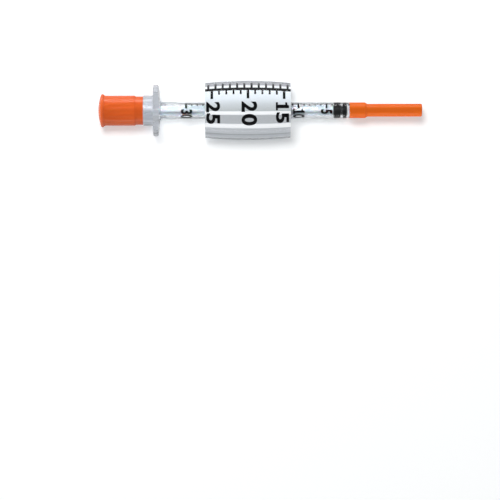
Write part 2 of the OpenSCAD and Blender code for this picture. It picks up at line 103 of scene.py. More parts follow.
# Middle of the enlarged baseline, as an angle from straight up, its width in degrees and its steps across
LINE_TURN, LINE_WIDTH, LINE_STEPS = 50.2, 8.4, 8
# Print that follows the photograph's strokes: body, what each stroke gains on either side in mm, and the angles at
# its ends, from straight up towards the half-unit side, in the CAD and here
STROKES = {
    "scale_baseline": ("barrel", 0, (48, 58), (50.6, 55.4)),
    "unit_marks": ("barrel", 0.045, (33, 48), (36, 50.6)),
    "half_unit_marks": ("barrel", -0.08, (58, 76), (55.4, 68)),
    "five_unit_marks": ("barrel", 0.05, (15, 48), (15, 61)),
    "enlarged_unit_marks": ("magnifier", 0.05, (35.5, 48.2), (35.5, 47.2)),
    "enlarged_half_unit_marks": ("magnifier", 0.08, (55, 79), (54, 79)),
    "enlarged_five_unit_marks": ("magnifier", 0.08, (25.3, 48.2), (25.3, 47.2)),
}


# Camera, as in the photograph: straight above the syringe, which lies in the upper part of the frame

PHOTO_SIZE = 500
PX_PER_MM = 3.737
CAMERA_UP = 800
SENSOR = 36
ROLL = math.radians(-0.1)
PHOTO_CENTRE_X = -2.78
ROW_DROP = 139.55


def add_camera():
    """A long lens above the syringe, tilted so that the syringe lies high in the square frame."""
    tilt = math.asin(ROW_DROP / PX_PER_MM / CAMERA_UP)
    bpy.ops.object.camera_add(location=(PHOTO_CENTRE_X * MM, 0, (AXIS_H + CAMERA_UP) * MM))
    camera = bpy.context.object
    camera.rotation_mode = "XYZ"
    camera.rotation_euler = (-tilt, 0, 0)
    camera.rotation_euler.rotate_axis("Z", ROLL)
    camera.data.sensor_width = SENSOR
    camera.data.lens = PX_PER_MM * CAMERA_UP * math.cos(tilt) * SENSOR / PHOTO_SIZE
    camera.data.clip_start, camera.data.clip_end = 0.05, 10
    bpy.context.scene.camera = camera


add_camera()


# Materials

def linear(colour):
    """Linear red, green, blue and alpha of an sRGB hex colour."""
    parts = [int(colour[i:i + 2], 16) / 255 for i in (1, 3, 5)]
    return [c / 12.92 if c <= 0.04045 else ((c + 0.055) / 1.055) ** 2.4 for c in parts] + [1]


def add(tree, kind, inputs=(), links=(), **settings):
    """Adds a node with its settings, its plain inputs and its links from (node, output)."""
    made = tree.nodes.new(kind)
    for name, value in settings.items():
        setattr(made, name, value)
    for name, value in dict(inputs).items():
        made.inputs[name].default_value = value
    for name, (source, output) in dict(links).items():
        tree.links.new(source.outputs[output], made.inputs[name])
    return made


def new_material(name):
    """A material with only its output left, and its tree."""
    material = bpy.data.materials.new(name)
    material.use_nodes = True
    tree = material.node_tree
    tree.nodes.clear()
    return material, tree


def finish_material(tree, shader):
    """Links a shader to the material's output."""
    add(tree, "ShaderNodeOutputMaterial", links={"Surface": (shader, 0)})


def surface_grain(tree, place, pitch_mm, depth_mm):
    """Bump from noise whose blotches are about pitch_mm wide and depth_mm deep."""
    grain = add(tree, "ShaderNodeTexNoise", {"Scale": 1 / (pitch_mm * MM), "Detail": 2},
                {"Vector": (place, "Object")})
    return add(tree, "ShaderNodeBump", {"Strength": 0.6, "Distance": depth_mm * MM}, {"Height": (grain, 0)})


def spread(tree, source, low, high):
    """Brings a 0 to 1 pattern into a range."""
    return add(tree, "ShaderNodeMapRange", {"To Min": low, "To Max": high}, {"Value": (source, 0)})


def two_tones(tree, factor, first, second):
    """Mixes two sRGB colours by a pattern."""
    return add(tree, "ShaderNodeMix", {"A": linear(first), "B": linear(second)}, {"Factor": (factor, 0)},
               data_type="RGBA")


def orange_polyethylene(name, first, second, gloss):
    """Injection-moulded LDPE with orange masterbatch: waxy, softly glossy, with faint flow streaks along the axis."""
    material, tree = new_material(name)
    place = add(tree, "ShaderNodeTexCoord")
    stretched = add(tree, "ShaderNodeMapping", {"Scale": (0.15, 1, 1)}, {"Vector": (place, "Object")})
    streaks = add(tree, "ShaderNodeTexNoise", {"Scale": 1 / (0.9 * MM), "Detail": 3}, {"Vector": (stretched, 0)})
    colour = two_tones(tree, spread(tree, streaks, 0, 1), first, second)
    rough = spread(tree, streaks, 0.2, 0.3)
    bump = surface_grain(tree, place, 0.35, 0.004)
    shader = add(tree, "ShaderNodeBsdfPrincipled", {"IOR": 1.5, "Specular IOR Level": gloss, "Subsurface Weight": 0.1,
                 "Subsurface Scale": 0.6 * MM, "Subsurface Radius": (1, 0.35, 0.12)},
                 {"Base Color": (colour, "Result"), "Roughness": (rough, 0), "Normal": (bump, 0)})
    finish_material(tree, shader)
    return material


def clear_plastic(name, tone, haze, through, ior, roughness, skin=0.0):
    """Moulded clear polymer: sharp reflections, a slight milky haze, and lamps that reach what is inside. A frosted
    one keeps a glossy skin."""
    material, tree = new_material(name)
    place = add(tree, "ShaderNodeTexCoord")
    stretched = add(tree, "ShaderNodeMapping", {"Scale": (0.2, 1, 1)}, {"Vector": (place, "Object")})
    flow = add(tree, "ShaderNodeTexNoise", {"Scale": 1 / (1.4 * MM), "Detail": 2}, {"Vector": (stretched, 0)})
    rough = spread(tree, flow, roughness * 0.7, roughness * 1.4)
    bump = surface_grain(tree, place, 1.2, 0.0006)
    body = add(tree, "ShaderNodeBsdfPrincipled", {"Base Color": linear(tone), "IOR": ior,
               "Transmission Weight": 1 - haze, "Coat Weight": skin, "Coat Roughness": 0.03},
               {"Roughness": (rough, 0), "Normal": (bump, 0)})
    lamp = add(tree, "ShaderNodeBsdfTransparent", {"Color": linear(through)})
    path = add(tree, "ShaderNodeLightPath")
    both = add(tree, "ShaderNodeMixShader", links={0: (path, "Is Shadow Ray"), 1: (body, 0), 2: (lamp, 0)})
    finish_material(tree, both)
    return material


def clear_sheet(name, tone, ior, roughness):
    """Thin moulded clear wall: what is behind shows straight through, under sharp reflections that grow at the rim."""
    material, tree = new_material(name)
    place = add(tree, "ShaderNodeTexCoord")
    bump = surface_grain(tree, place, 1.6, 0.002)
    edge = add(tree, "ShaderNodeLayerWeight", {"Blend": 0.5}, {"Normal": (bump, 0)})
    rim = add(tree, "ShaderNodeMath", {1: 5.0}, {0: (edge, "Facing")}, operation="POWER")
    mirror = spread(tree, rim, ((ior - 1) / (ior + 1)) ** 2, 1)
    through = add(tree, "ShaderNodeBsdfTransparent", {"Color": linear(tone)})
    gloss = add(tree, "ShaderNodeBsdfGlossy", {"Color": (1, 1, 1, 1), "Roughness": roughness},
                {"Normal": (bump, 0)})
    wall = add(tree, "ShaderNodeMixShader", links={0: (mirror, 0), 1: (through, 0), 2: (gloss, 0)})
    path = add(tree, "ShaderNodeLightPath")
    both = add(tree, "ShaderNodeMixShader", links={0: (path, "Is Shadow Ray"), 1: (wall, 0), 2: (through, 0)})
    finish_material(tree, both)
    return material


def printed_ink(name):
    """Pad-printed black ink: dense, slightly glossy, with a faint grain from the pad."""
    material, tree = new_material(name)
    place = add(tree, "ShaderNodeTexCoord")
    grain = add(tree, "ShaderNodeTexNoise", {"Scale": 1 / (0.12 * MM), "Detail": 3}, {"Vector": (place, "Object")})
    colour = two_tones(tree, grain, "#050506", "#141517")
    rough = spread(tree, grain, 0.55, 0.75)
    shader = add(tree, "ShaderNodeBsdfPrincipled", {"IOR": 1.5, "Specular IOR Level": 0.15},
                 {"Base Color": (colour, "Result"), "Roughness": (rough, 0)})
    finish_material(tree, shader)
    return material


def black_rubber(name):
    """Siliconised bromobutyl rubber: near black and oily, so that it keeps a soft shine."""
    material, tree = new_material(name)
    place = add(tree, "ShaderNodeTexCoord")
    mottle = add(tree, "ShaderNodeTexNoise", {"Scale": 1 / (0.25 * MM), "Detail": 4}, {"Vector": (place, "Object")})
    colour = two_tones(tree, mottle, "#020203", "#08090A")
    rough = spread(tree, mottle, 0.25, 0.42)
    bump = surface_grain(tree, place, 0.18, 0.004)
    shader = add(tree, "ShaderNodeBsdfPrincipled", {"IOR": 1.52, "Specular IOR Level": 0.1},
                 {"Base Color": (colour, "Result"), "Roughness": (rough, 0), "Normal": (bump, 0)})
    finish_material(tree, shader)
    return material


def white_polypropylene(name):
    """Natural polypropylene of the plunger: milky grey-white and satin, a little see-through at its thin ribs."""
    material, tree = new_material(name)
    place = add(tree, "ShaderNodeTexCoord")
    cloud = add(tree, "ShaderNodeTexNoise", {"Scale": 1 / (1.2 * MM), "Detail": 3}, {"Vector": (place, "Object")})
    colour = two_tones(tree, cloud, "#C2C7CC", "#D1D5D9")
    rough = spread(tree, cloud, 0.3, 0.45)
    bump = surface_grain(tree, place, 0.3, 0.003)
    shader = add(tree, "ShaderNodeBsdfPrincipled", {"IOR": 1.49, "Subsurface Weight": 0.3,
                 "Subsurface Scale": 0.8 * MM}, {"Base Color": (colour, "Result"), "Roughness": (rough, 0),
                                               "Normal": (bump, 0)})
    finish_material(tree, shader)
    return material


def drawn_steel(name):
    """Drawn stainless steel of the needle: bright, with fine lines along its length."""
    material, tree = new_material(name)
    place = add(tree, "ShaderNodeTexCoord")
    stretched = add(tree, "ShaderNodeMapping", {"Scale": (0.05, 1, 1)}, {"Vector": (place, "Object")})
    lines = add(tree, "ShaderNodeTexNoise", {"Scale": 1 / (0.03 * MM), "Detail": 2}, {"Vector": (stretched, 0)})
    colour = two_tones(tree, lines, "#B9BEC3", "#D5D9DC")
    rough = spread(tree, lines, 0.16, 0.3)
    shader = add(tree, "ShaderNodeBsdfPrincipled", {"Metallic": 1.0},
                 {"Base Color": (colour, "Result"), "Roughness": (rough, 0)})
    finish_material(tree, shader)
    return material


def cured_adhesive(name):
    """UV-cured acrylate bead: clear with a yellow cast and a wet gloss."""
    material, tree = new_material(name)
    place = add(tree, "ShaderNodeTexCoord")
    cloud = add(tree, "ShaderNodeTexNoise", {"Scale": 1 / (0.4 * MM), "Detail": 2}, {"Vector": (place, "Object")})
    colour = two_tones(tree, cloud, "#E9E2C4", "#F5F1DF")
    rough = spread(tree, cloud, 0.05, 0.15)
    shader = add(tree, "ShaderNodeBsdfPrincipled", {"IOR": 1.5, "Transmission Weight": 0.6},
                 {"Base Color": (colour, "Result"), "Roughness": (rough, 0)})
    finish_material(tree, shader)
    return material


# Painted highlight and painted shade bands of the film: the bright and grey bands that a magnified clear barrel shows,
# as (angle from straight up towards the half-unit side, sRGB colour)
FILM_LIGHT_AND_SHADE_BANDS = [
    (-100, "#B8BBBE"), (-75, "#BABDC1"), (-62, "#B4B7BB"), (-59, "#949799"), (-56.5, "#BEC1C4"), (-50, "#C2C4C7"),
    (-40.5, "#BABCBF"), (-38, "#FEFEFE"), (-30, "#FEFEFE"), (-27.5, "#BCBEC0"), (-9.5, "#B9BBBD"),
    (-8, "#FEFEFE"), (-2.5, "#FEFEFE"), (-1, "#BEC2C2"), (12, "#CACED0"), (25, "#DCE1E5"), (36, "#DEE2E7"),
    (45, "#D6DADF"), (56, "#E6E7E8"), (62, "#E2E2E3"), (66.5, "#9B999E"), (71, "#8E8B91"), (82, "#8C898F"),
    (100, "#898690"),
]


def printed_film(name):
    """Polyester film behind the lens, with painted highlights and painted shade: the bright and grey bands that a
    magnified barrel shows. It also glows faintly, a painted glow that stands for the light that a lens gathers."""
    material, tree = new_material(name)
    place = add(tree, "ShaderNodeTexCoord")
    parts = add(tree, "ShaderNodeSeparateXYZ", links={"Vector": (place, "Object")})
    height = add(tree, "ShaderNodeMath", {1: AXIS_H * MM}, {0: (parts, "Z")}, operation="SUBTRACT")
    angle = add(tree, "ShaderNodeMath", links={0: (parts, "Y"), 1: (height, 0)}, operation="ARCTAN2")
    low, high = FILM_LIGHT_AND_SHADE_BANDS[0][0], FILM_LIGHT_AND_SHADE_BANDS[-1][0]
    share = add(tree, "ShaderNodeMapRange", {"From Min": math.radians(low), "From Max": math.radians(high)},
                {"Value": (angle, 0)})
    # The ramp paints the highlight and shade bands by their angle around the axis
    bands = add(tree, "ShaderNodeValToRGB", links={"Fac": (share, 0)})
    stops = bands.color_ramp.elements
    while len(stops) < len(FILM_LIGHT_AND_SHADE_BANDS):
        stops.new(0.5)
    for stop, (at, colour) in zip(stops, FILM_LIGHT_AND_SHADE_BANDS):
        stop.position = (at - low) / (high - low)
        stop.color = linear(colour)
    weave = add(tree, "ShaderNodeTexNoise", {"Scale": 1 / (0.5 * MM), "Detail": 2}, {"Vector": (place, "Object")})
    rough = spread(tree, weave, 0.35, 0.5)
    # The emission is a painted glow in the bands' colours
    shader = add(tree, "ShaderNodeBsdfPrincipled", {"IOR": 1.5, "Emission Strength": 0.3},
                 {"Base Color": (bands, "Color"), "Emission Color": (bands, "Color"), "Roughness": (rough, 0)})
    finish_material(tree, shader)
    return material


CAP_ORANGE = orange_polyethylene("orange_ldpe_cap", "#EA6025", "#F16D2F", 0.3)
SHIELD_ORANGE = orange_polyethylene("orange_ldpe_shield", "#EB661C", "#F27426", 0.14)
BARREL_CLEAR = clear_plastic("clear_polypropylene_barrel", "#EAEEF1", 0.01, "#F0F2F4", 1.49, 0.04)
BARREL_FROSTED = clear_plastic("frosted_polypropylene_grip", "#D9DDE4", 0.6, "#BCBFC4", 1.49, 0.26, skin=0.8)
LENS_CLEAR = clear_sheet("clear_polycarbonate_lens", "#FCFDFE", 1.2, 0.04)
CLIP_CLEAR = clear_plastic("clear_polycarbonate_clip", "#DFE3E7", 0.15, "#E2E5E8", 1.58, 0.05)
INK = printed_ink("black_pad_ink")
RUBBER = black_rubber("bromobutyl_rubber")
PLUNGER_WHITE = white_polypropylene("natural_polypropylene_plunger")
STEEL = drawn_steel("drawn_needle_steel")
ADHESIVE = cured_adhesive("cured_acrylate_bead")
# The film's colours are painted highlights and painted shade, with a painted glow
PAINTED_LIGHT_FILM = printed_film("polyester_film_painted_light")


# Modelling

def spot(x, r=0.0):
    """Point on the upper half outline at a station and a radius."""
    return Vector(((FLANGE_X + x) * MM, 0, (AXIS_H + r) * MM))


def choose(test, trait="co"):
    """Selects the vertices whose place, or other trait, passes the test, in edit mode."""
    mesh = bmesh.from_edit_mesh(bpy.context.object.data)
    bpy.ops.mesh.select_all(action="DESELECT")
    for vertex in mesh.verts:
        if test(getattr(vertex, trait)):
            vertex.select = True
    mesh.select_flush(True)
    bmesh.update_edit_mesh(bpy.context.object.data)


def draw_outline(name, points, rounds):
    """Draws a half outline from one vertex, point by point, and rounds its corners. It stays in edit mode."""
    bpy.ops.object.select_all(action="DESELECT")
    bpy.ops.mesh.primitive_plane_add(size=MM)
    bpy.context.object.name = name
    bpy.ops.object.mode_set(mode="EDIT")
    bpy.ops.mesh.select_mode(type="VERT")
    bpy.ops.mesh.select_all(action="SELECT")
    bpy.ops.mesh.merge(type="CENTER")
    places = [spot(*p) for p in points]
    bpy.ops.transform.translate(value=places[0])
    for here, there in zip(places, places[1:]):
        bpy.ops.mesh.extrude_region_move(TRANSFORM_OT_translate={"value": there - here})
    bpy.ops.mesh.select_all(action="SELECT")
    bpy.ops.mesh.remove_doubles(threshold=WELD)
    for index, radius in rounds.items():
        corner = places[index]
        choose(lambda co: (co - corner).length < 2 * WELD)
        bpy.ops.mesh.bevel(offset=radius * MM, segments=CORNER_STEPS, affect="VERTICES")


def spin_round(steps):
    """Spins the outline around the axis, joins its ends and poles, and turns its faces outwards."""
    bpy.ops.mesh.select_all(action="SELECT")
    bpy.ops.mesh.spin(steps=steps, angle=TURN, center=spot(0), axis=(1, 0, 0))
    bpy.ops.mesh.select_all(action="SELECT")
    bpy.ops.mesh.remove_doubles(threshold=WELD)
    bpy.ops.mesh.normals_make_consistent(inside=False)


def cut(place, normal):
    """Cuts away what lies past a plane, and closes the cut."""
    bpy.ops.mesh.select_all(action="SELECT")
    bpy.ops.mesh.bisect(plane_co=place, plane_no=normal, use_fill=True, clear_outer=True, threshold=ON_PLANE)


def close_piece():
    """Leaves edit mode and smooths the faces that meet at a small angle."""
    bpy.ops.object.mode_set(mode="OBJECT")
    piece = bpy.context.object
    bpy.ops.object.shade_smooth_by_angle(angle=math.radians(SMOOTH))
    return piece


def dress(piece, material, body, slot, *nodes):
    """Gives a piece its material and body, and lets it stand for its CAD nodes. Its slot is not used."""
    piece.data.materials.clear()
    piece.data.materials.append(material)
    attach(piece, body)
    if nodes:
        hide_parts(*nodes)


def copied(name, node):
    """A copy of a CAD node's mesh with its doubles merged, as a piece of its own."""
    bpy.ops.object.select_all(action="DESELECT")
    piece = bpy.data.objects.new(name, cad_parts[node].data.copy())
    bpy.context.scene.collection.objects.link(piece)
    piece.select_set(True)
    bpy.context.view_layer.objects.active = piece
    bpy.ops.object.mode_set(mode="EDIT")
    bpy.ops.mesh.select_all(action="SELECT")
    bpy.ops.mesh.customdata_custom_splitnormals_clear()
    bpy.ops.mesh.remove_doubles(threshold=COPY_WELD)
    bpy.ops.mesh.dissolve_limited(angle_limit=math.radians(0.5))
    bpy.ops.object.mode_set(mode="OBJECT")
    return piece


def softened(name, node, edge, smooth_angle=COPY_SMOOTH):
    """A copy of a CAD node with its sharp edges rounded, as a mould leaves them."""
    piece = copied(name, node)
    rounding = piece.modifiers.new("rounding", "BEVEL")
    rounding.width = edge * MM
    rounding.segments = EDGE_STEPS
    rounding.limit_method = "ANGLE"
    rounding.angle_limit = math.radians(smooth_angle)
    rounding.use_clamp_overlap = True
    bpy.ops.object.modifier_apply(modifier=rounding.name)
    bpy.ops.object.shade_smooth_by_angle(angle=math.radians(smooth_angle))
    return piece


def barrel_moulding():
    """The barrel in one moulding: spigot, grooved collar, flange with two flats, tube, seat and nose."""
    points = [
        (SPIGOT_X, CUP_R), (SPIGOT_X, SPIGOT_R), (GROOVE_END_X, SPIGOT_R), (GROOVE_END_X, COLLAR_IN_R),
        (RIM_X, COLLAR_IN_R), (RIM_X, COLLAR_R), (0, COLLAR_R), (0, FLANGE_R), (FLANGE_T, FLANGE_R),
        (HUB_X, ROOT_R), (ROOT_END_X, ROOT_R), (TUBE_X, BARREL_R), (SHIELD_X, BARREL_R), (SHIELD_X, SEAT_R),
        (FRONT_X, SEAT_R), (FRONT_X, NOSE_R), (NOSE_X, NOSE_R), (NOSE_X, WELL_R),
        (NOSE_X - WELL_DEPTH, WELL_R), (NOSE_X - WELL_DEPTH, CANAL_R), (ZERO_X, CANAL_R), (ZERO_X, BORE_R),
        (STOP_X + STOP_HALF, BORE_R), (STOP_X, BORE_R - STOP_H), (STOP_X - STOP_HALF, BORE_R), (0, BORE_R),
        (0, CUP_R), (SPIGOT_X, CUP_R),
    ]
    # Corner by its place in the outline, and its radius
    rounds = {1: 0.12, 5: 0.08, 6: 0.18, 7: 0.4, 8: 0.4, 9: 0.35, 12: 0.06, 14: 0.12, 15: 0.2, 16: 0.15, 21: 0.2}
    draw_outline("barrel_moulding", points, rounds)
    spin_round(STEPS_AROUND)
    for side in (1, -1):
        cut(spot(0, side * AXIS_H), (0, 0, side))
    piece = close_piece()
    dress(piece, BARREL_CLEAR, "barrel", "clear_plastic", "barrel")
    piece.data.materials.append(BARREL_FROSTED)
    frost_end = spot(HUB_X).x
    for face in piece.data.polygons:
        face.material_index = int(face.center.x < frost_end and face.normal.dot(face.center - spot(0)) > 0)


def cap_moulding():
    """The plunger cap: domed end with its bead, body with shallow grip ribs, and the lip at its mouth."""
    points = [(CAP_END_X, 0)] + [(CAP_END_X + x, r) for x, r in DOME] + [
        (CAP_END_X + BEAD, RIM_R), (CAP_END_X + BEAD_END, RIM_R), (CAP_END_X + BEAD_FOOT, CAP_R),
        (GRIP_X, CAP_R), (GRIP_END_X, CAP_R), (RIM_X - LIP_LEN, CAP_R), (RIM_X - LIP_LEN, LIP_R),
        (RIM_X, LIP_R), (RIM_X, CAP_BORE_R), (CAP_FLOOR_X, CAP_BORE_R), (CAP_FLOOR_X, 0),
    ]
    rounds = {1: 1.2, 3: 0.35, 4: 0.25, 5: 0.3, 8: 0.09, 9: 0.05, 10: 0.08, 12: 0.3}
    draw_outline("plunger_cap_moulding", points, rounds)
    spin_round(GRIP_RIBS * STEPS_PER_RIB)
    start, end = spot(GRIP_X).x, spot(GRIP_END_X).x
    body = bpy.context.object.data
    mesh = bmesh.from_edit_mesh(body)
    bpy.ops.mesh.select_mode(type="FACE")
    bpy.ops.mesh.select_all(action="DESELECT")
    # The outer faces of every other half of a rib's share of the turn are sunk
    for face in mesh.faces:
        middle = face.calc_center_median()
        turn = math.atan2(middle.y, middle.z - AXIS_H * MM) % TURN / TURN * GRIP_RIBS % 1
        outside = face.normal.y * middle.y + face.normal.z * (middle.z - AXIS_H * MM) > 0
        if start < middle.x < end and outside and turn > 0.5:
            face.select = True
    bmesh.update_edit_mesh(body)
    bpy.ops.mesh.inset(thickness=GRIP_EDGE * MM, depth=-GRIP_DEPTH * MM)
    dress(close_piece(), CAP_ORANGE, "plunger_cap", "orange_plastic", "plunger_cap")


def stopper_moulding():
    """The rubber stopper: two sealing ribs with full round edges, and the hole that the stem snaps into."""
    r, low_r = STOPPER_R, STOPPER_R - GAP_DEPTH
    outline = [
        (0, STEM_R), (0, r), (GAP, r), (GAP + GAP_DEPTH, low_r), (GAP_END - GAP_DEPTH, low_r), (GAP_END, r),
        (STOPPER_LEN, r), (STOPPER_LEN, 0), (STEM_END, 0), (STEM_END, STEM_HEAD_R), (STEM_HEAD, STEM_HEAD_R),
        (STEM_HEAD, STEM_R), (0, STEM_R),
    ]
    rounds = {1: 0.15, 2: 0.06, 3: 0.05, 4: 0.05, 5: 0.06, 6: 0.2}
    draw_outline("stopper_moulding", [(STOPPER_X + x, radius) for x, radius in outline], rounds)
    spin_round(STOPPER_STEPS)
    dress(close_piece(), RUBBER, "plunger", "black_rubber", "plunger_stopper")


def reprinted(node, body, widen, ends, new_ends):
    """A copy of a CAD node's print, wider or narrower along the axis, and stretched around it between new ends."""
    piece = copied(f"{node}_print", node)
    bpy.ops.object.mode_set(mode="EDIT")
    for side in (1, -1):
        choose(lambda normal: normal.x * side > 0.2, "normal")
        bpy.ops.transform.translate(value=(side * widen * MM, 0, 0))
    bpy.ops.object.mode_set(mode="OBJECT")
    rings = {}
    for vertex in piece.data.vertices:
        angle = math.degrees(math.atan2(vertex.co.y, vertex.co.z - AXIS_H * MM))
        rings.setdefault(round(angle, 1), set()).add(vertex.index)
    bpy.ops.object.mode_set(mode="EDIT")
    stretch = (new_ends[1] - new_ends[0]) / (ends[1] - ends[0])
    for angle, ring in rings.items():
        choose(lambda index: index in ring, "index")
        turn = new_ends[0] + (angle - ends[0]) * stretch - angle
        bpy.ops.transform.rotate(value=math.radians(turn), orient_axis="X", center_override=spot(0))
    dress(close_piece(), INK, body, "black_ink", node)


def scale_print():
    """Both scales' marks and the barrel's baseline, in the strokes that the photograph shows."""
    for node, stroke in STROKES.items():
        reprinted(node, *stroke)


# Steps along the magnifier's bowed outline
CROWN_STEPS = 16


def crown_points(inset):
    """Outline of the magnifier's barrel shape, at an inset, from one end to the other."""
    shares = [i / CROWN_STEPS for i in range(CROWN_STEPS + 1)]
    return [(LENS_X + LENS_LEN * share, LENS_END_R + LENS_CROWN * (1 - (2 * share - 1) ** 2) - inset)
            for share in shares]


def crown_shell(name, outer, inner, floor_z, rounds):
    """Shell between two insets of the barrel shape, open underneath."""
    points = crown_points(outer) + crown_points(inner)[::-1]
    points.append(points[0])
    draw_outline(name, points, rounds)
    spin_round(STEPS_AROUND)
    cut(spot(0, floor_z), (0, 0, -1))
    return close_piece()


def enlarged_line():
    """The enlarged baseline as a strip of ink on the film, lengthwise along the barrel shape."""
    points = crown_points(FILM_INSET - INK_T) + crown_points(FILM_INSET + INK_T / 2)[::-1]
    points.append(points[0])
    draw_outline("enlarged_baseline_print", points, {})
    bpy.ops.mesh.select_all(action="SELECT")
    bpy.ops.mesh.edge_face_add()
    bpy.ops.transform.rotate(value=math.radians(LINE_TURN - LINE_WIDTH / 2), orient_axis="X", center_override=spot(0))
    bpy.ops.mesh.select_all(action="SELECT")
    bpy.ops.mesh.extrude_region_move()
    step = math.radians(LINE_WIDTH / LINE_STEPS)
    bpy.ops.transform.rotate(value=step, orient_axis="X", center_override=spot(0))
    for _ in range(LINE_STEPS - 1):
        bpy.ops.mesh.extrude_region_move()
        bpy.ops.transform.rotate(value=step, orient_axis="X", center_override=spot(0))
    bpy.ops.mesh.select_all(action="SELECT")
    bpy.ops.mesh.normals_make_consistent(inside=False)
    dress(close_piece(), INK, "magnifier", "black_ink", "enlarged_baseline")


def magnifier_lens():
    """The clear barrel-shaped cover, whose outer ends are rounded."""
    rounds = {0: LENS_EDGE, CROWN_STEPS: LENS_EDGE}
    piece = crown_shell("magnifier_lens_shell", 0, LENS_WALL, SPLIT_Z, rounds)
    dress(piece, LENS_CLEAR, "magnifier", "lens_plastic", "magnifier_lens")


def scale_film():
    """The film with the enlarged scale, just inside the lens."""
    piece = crown_shell("enlarged_scale_sheet", FILM_INSET, FILM_INSET + FILM_T, SPLIT_Z + FILM_RISE, {})
    dress(piece, PAINTED_LIGHT_FILM, "magnifier", "film", "enlarged_scale_film")


# Print

# Barrel numbers: first figure's angle from straight up, angle between figures, their width and height, how much
# bolder they are than the font, and how far numbers of two figures stand past their mark
FIGURE_ANGLE, FIGURE_PITCH, FIGURE_W, FIGURE_H, FIGURE_BOLD = -9, 38, 1.3, 3.1, 0.036
PAIR_SHIFT = 0.13
# Figures start this far above the surface that they are laid on
HOVER = 0.6

# Outline of a bold 1 with its flag and foot, one unit tall
FIGURE_ONE = [(0, 0), (0.6, 0), (0.6, 0.15), (0.44, 0.15), (0.44, 1), (0.24, 1), (0.18, 0.88), (0, 0.85), (0, 0.71),
              (0.18, 0.71), (0.18, 0.15), (0, 0.15), (0, 0)]


def draw_one():
    """The figure 1 as one flat face, drawn point by point."""
    bpy.ops.object.select_all(action="DESELECT")
    bpy.ops.mesh.primitive_plane_add(size=MM)
    bpy.ops.object.mode_set(mode="EDIT")
    bpy.ops.mesh.select_mode(type="VERT")
    bpy.ops.mesh.select_all(action="SELECT")
    bpy.ops.mesh.merge(type="CENTER")
    for (x, y), (to_x, to_y) in zip(FIGURE_ONE, FIGURE_ONE[1:]):
        bpy.ops.mesh.extrude_region_move(TRANSFORM_OT_translate={"value": ((to_x - x) * MM, (to_y - y) * MM, 0)})
    bpy.ops.mesh.select_all(action="SELECT")
    bpy.ops.mesh.remove_doubles(threshold=WELD)
    bpy.ops.mesh.edge_face_add()
    bpy.ops.object.mode_set(mode="OBJECT")
    return bpy.context.object


def write_figure(figure, bold):
    """One flat figure: the drawn 1, or a figure of the built-in font made bold."""
    if figure == "1":
        return draw_one()
    bpy.ops.object.select_all(action="DESELECT")
    bpy.ops.object.text_add()
    digit = bpy.context.object
    digit.data.body = figure
    digit.data.size = MM
    digit.data.offset = bold * MM
    digit.data.resolution_u = 6
    bpy.ops.object.convert(target="MESH")
    return digit


def lay_figure(digit, x, angle, radius, tall, wide, target):
    """Sizes a flat figure, stands it along X, turns it to its angle and lays it on the target."""
    low = Vector(map(min, *[v.co for v in digit.data.vertices]))
    high = Vector(map(max, *[v.co for v in digit.data.vertices]))
    size, middle = high - low, (high + low) / 2
    bpy.ops.object.mode_set(mode="EDIT")
    bpy.ops.mesh.select_all(action="SELECT")
    bpy.ops.mesh.remove_doubles(threshold=WELD)
    if bmesh.from_edit_mesh(digit.data).faces[:][0].normal.z < 0:
        bpy.ops.mesh.flip_normals()
    bpy.ops.transform.translate(value=-middle)
    bpy.ops.transform.resize(value=(wide * MM / size.x, tall * MM / size.y, 1), center_override=(0, 0, 0))
    # Nine cuts along it let the figure follow a round surface
    for i in range(-4, 5):
        bpy.ops.mesh.select_all(action="SELECT")
        bpy.ops.mesh.bisect(plane_co=(i * wide * MM / 10, 0, 0), plane_no=(1, 0, 0), threshold=ON_PLANE)
    bpy.ops.object.mode_set(mode="OBJECT")
    # The text's up goes to +X and its right to -Y, and its face turns to the angle around the axis
    digit.rotation_euler = (0, 0, -math.pi / 2)
    bpy.ops.object.transform_apply(location=False, rotation=True, scale=False)
    digit.rotation_euler = (-math.radians(angle), 0, 0)
    out = Vector((0, math.sin(math.radians(angle)), math.cos(math.radians(angle))))
    digit.location = spot(x) + out * (radius + HOVER) * MM
    wrap = digit.modifiers.new("lay", "SHRINKWRAP")
    wrap.target = target
    wrap.wrap_method = "PROJECT"
    wrap.use_project_z = True
    wrap.use_negative_direction = True
    wrap.use_positive_direction = False
    bpy.ops.object.modifier_apply(modifier=wrap.name)
    bpy.ops.object.transform_apply(location=True, rotation=True, scale=True)
    return digit


def thicken_ink(piece):
    """Gives laid digits the thickness of ink, outwards."""
    bpy.ops.object.select_all(action="DESELECT")
    piece.select_set(True)
    bpy.context.view_layer.objects.active = piece
    solid = piece.modifiers.new("ink", "SOLIDIFY")
    solid.thickness = INK_T * MM
    solid.offset = 1
    bpy.ops.object.modifier_apply(modifier=solid.name)


def print_number(name, x, figures, radius, tall, bold, target):
    """A number at station x, its figures side by side around the axis, as (figure, angle, width), in one piece."""
    made = []
    for figure, angle, wide in figures:
        made.append(lay_figure(write_figure(figure, bold), x, angle, radius, tall, wide, target))
    bpy.ops.object.select_all(action="DESELECT")
    for digit in made:
        digit.select_set(True)
    bpy.context.view_layer.objects.active = made[0]
    if len(made) > 1:
        bpy.ops.object.join()
    piece = bpy.context.object
    piece.name = name
    thicken_ink(piece)
    return piece


def barrel_numerals():
    """The barrel's own numbers, one at each five-unit mark."""
    target = bpy.data.objects["barrel_moulding"]
    for value in (5, 10, 15, 20, 25, 30):
        figures = [(figure, FIGURE_ANGLE - FIGURE_PITCH * i, FIGURE_W) for i, figure in enumerate(str(value))]
        x = ZERO_X - UNIT * value + (PAIR_SHIFT if value > 9 else 0)
        name = f"numeral_{value:02d}_print"
        piece = print_number(name, x, figures, BARREL_R, FIGURE_H, FIGURE_BOLD, target)
        dress(piece, INK, "barrel", "black_ink", f"numeral_{value:02d}")


